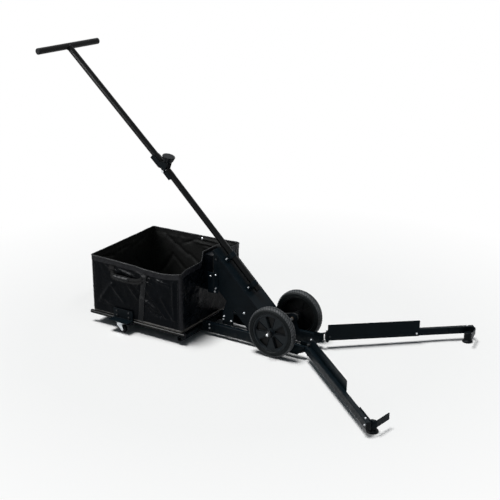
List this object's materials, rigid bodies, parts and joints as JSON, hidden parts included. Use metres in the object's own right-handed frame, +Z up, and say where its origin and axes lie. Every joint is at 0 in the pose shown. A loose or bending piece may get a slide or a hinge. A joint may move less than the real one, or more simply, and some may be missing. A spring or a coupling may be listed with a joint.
{
  "type": "tennis ball cart",
  "caption": "Push-along tennis ball collector: angled arms feed a wheel-driven belt ramp that rolls balls into a fabric basket behind a folding handle.",
  "frame": {"origin": "on the ground under the middle of the cart's length and width", "axes": "+X the way the cart is pushed, towards the arms' tips; +Y the cart's left; +Z up"},
  "size_m": [1.4724, 0.835, 0.9652],
  "materials": {
    "powder_coat": "satin black powder coat",
    "black_tube": "semi-gloss black powder coat on round tube",
    "tread_rubber": "solid moulded rubber",
    "wheel_plastic": "moulded black nylon",
    "knob_plastic": "moulded black plastic",
    "zinc_steel": "bright zinc plate",
    "pressed_zinc": "zinc-plated pressed sheet",
    "coated_nylon": "glossy coated woven nylon",
    "webbing": "woven webbing",
    "belt_rubber": "ribbed rubber belting",
    "bronze_bush": "plain bearing bronze"
  },
  "bodies": {
    "chassis": {"side_plate_left": "powder_coat", "side_plate_right": "powder_coat", "top_cover": "powder_coat", "ramp_floor": "powder_coat", "base_beam_left": "powder_coat", "base_beam_right": "powder_coat", "cross_bar_front": "powder_coat", "cross_bar_rear": "powder_coat", "side_rail_left": "black_tube", "side_rail_right": "black_tube", "caster_plate_left": "powder_coat", "caster_plate_right": "powder_coat", "basket_hanger_left": "powder_coat", "basket_hanger_right": "powder_coat", "saddle_clamp_upper": "powder_coat", "saddle_clamp_lower": "powder_coat", "lower_handle_tube": "black_tube", "tube_plug": "knob_plastic", "lower_fold_bracket": "powder_coat", "fold_pin": "zinc_steel", "axle_bush_left": "bronze_bush", "axle_bush_right": "bronze_bush", "arm_bracket_left": "powder_coat", "arm_bracket_right": "powder_coat", "arm_pivot_bolt_left": "zinc_steel", "arm_pivot_bolt_right": "zinc_steel", "elevator_belt": "belt_rubber", "drive_belt": "belt_rubber"},
    "wheelset": {"axle": "zinc_steel", "wheel_rim_left": "wheel_plastic", "wheel_rim_right": "wheel_plastic", "tyre_left": "tread_rubber", "tyre_right": "tread_rubber", "hub_nut_left": "zinc_steel", "hub_nut_right": "zinc_steel", "axle_pulley": "wheel_plastic"},
    "drive_roller": {"drive_roller": "zinc_steel"},
    "idler_roller": {"idler_roller": "zinc_steel"},
    "upper_handle": {"upper_handle_tube": "black_tube", "upper_fold_bracket": "powder_coat", "cross_handle": "black_tube", "handle_cap_left": "knob_plastic", "handle_cap_right": "knob_plastic"},
    "fold_knob": {"fold_knob": "knob_plastic"},
    "basket": {"basket_shell": "coated_nylon", "carry_handle_left": "webbing", "carry_handle_right": "webbing"},
    "arm_left": {"arm_beam_left": "powder_coat", "arm_panel_left": "powder_coat", "tip_hook_left": "powder_coat", "arm_foot_left": "wheel_plastic"},
    "caster_fork_left": {"caster_fork_left": "pressed_zinc"},
    "caster_wheel_left": {"caster_wheel_left": "wheel_plastic"},
    "arm_right": {"arm_beam_right": "powder_coat", "arm_panel_right": "powder_coat", "tip_hook_right": "powder_coat", "arm_foot_right": "wheel_plastic"},
    "caster_fork_right": {"caster_fork_right": "pressed_zinc"},
    "caster_wheel_right": {"caster_wheel_right": "wheel_plastic"}
  },
  "joints": [
    {"name": "wheel_spin", "type": "hinge", "parent": "chassis", "child": "wheelset", "pos_m": [0.19225, 0, 0.0885], "axis": [0, 1, 0], "continuous": true},
    {"name": "drive_roller_spin", "type": "hinge", "parent": "chassis", "child": "drive_roller", "pos_m": [0.14815, 0, 0.07844], "axis": [0, 1, 0], "continuous": true},
    {"name": "idler_roller_spin", "type": "hinge", "parent": "chassis", "child": "idler_roller", "pos_m": [-0.06185, 0, 0.28408], "axis": [0, 1, 0], "continuous": true},
    {"name": "handle_fold", "type": "hinge", "parent": "chassis", "child": "upper_handle", "pos_m": [-0.30425, 0, 0.55422], "axis": [0, -1, 0], "range_deg": [0, 95]},
    {"name": "fold_knob_turn", "type": "hinge", "parent": "chassis", "child": "fold_knob", "pos_m": [-0.30425, 0, 0.55422], "axis": [0.2756, 0, 0.9613], "range_deg": [0, 270]},
    {"name": "basket_slide", "type": "slide", "parent": "chassis", "child": "basket", "axis": [1, 0, 0], "range_m": [-0.1, 0]},
    {"name": "arm_left_swing", "type": "hinge", "parent": "chassis", "child": "arm_left", "pos_m": [0.31775, 0.0664, 0.0434], "axis": [0, 0, -1], "range_deg": [-8, 35]},
    {"name": "arm_right_swing", "type": "hinge", "parent": "chassis", "child": "arm_right", "pos_m": [0.31775, -0.0664, 0.0434], "axis": [0, 0, 1], "range_deg": [-8, 35]},
    {"name": "caster_left_swivel", "type": "hinge", "parent": "chassis", "child": "caster_fork_left", "pos_m": [-0.36625, 0.2045, 0.038], "axis": [0, 0, 1], "continuous": true},
    {"name": "caster_left_roll", "type": "hinge", "parent": "caster_fork_left", "child": "caster_wheel_left", "pos_m": [-0.35425, 0.2045, 0.0145], "axis": [0, 1, 0], "continuous": true},
    {"name": "caster_right_swivel", "type": "hinge", "parent": "chassis", "child": "caster_fork_right", "pos_m": [-0.36625, -0.2045, 0.038], "axis": [0, 0, 1], "continuous": true},
    {"name": "caster_right_roll", "type": "hinge", "parent": "caster_fork_right", "child": "caster_wheel_right", "pos_m": [-0.35425, -0.2045, 0.0145], "axis": [0, 1, 0], "continuous": true}
  ],
  "couplings": [
    {"joint": "drive_roller_spin", "follows": "wheel_spin", "ratio": 1},
    {"joint": "idler_roller_spin", "follows": "wheel_spin", "ratio": 1}
  ]
}
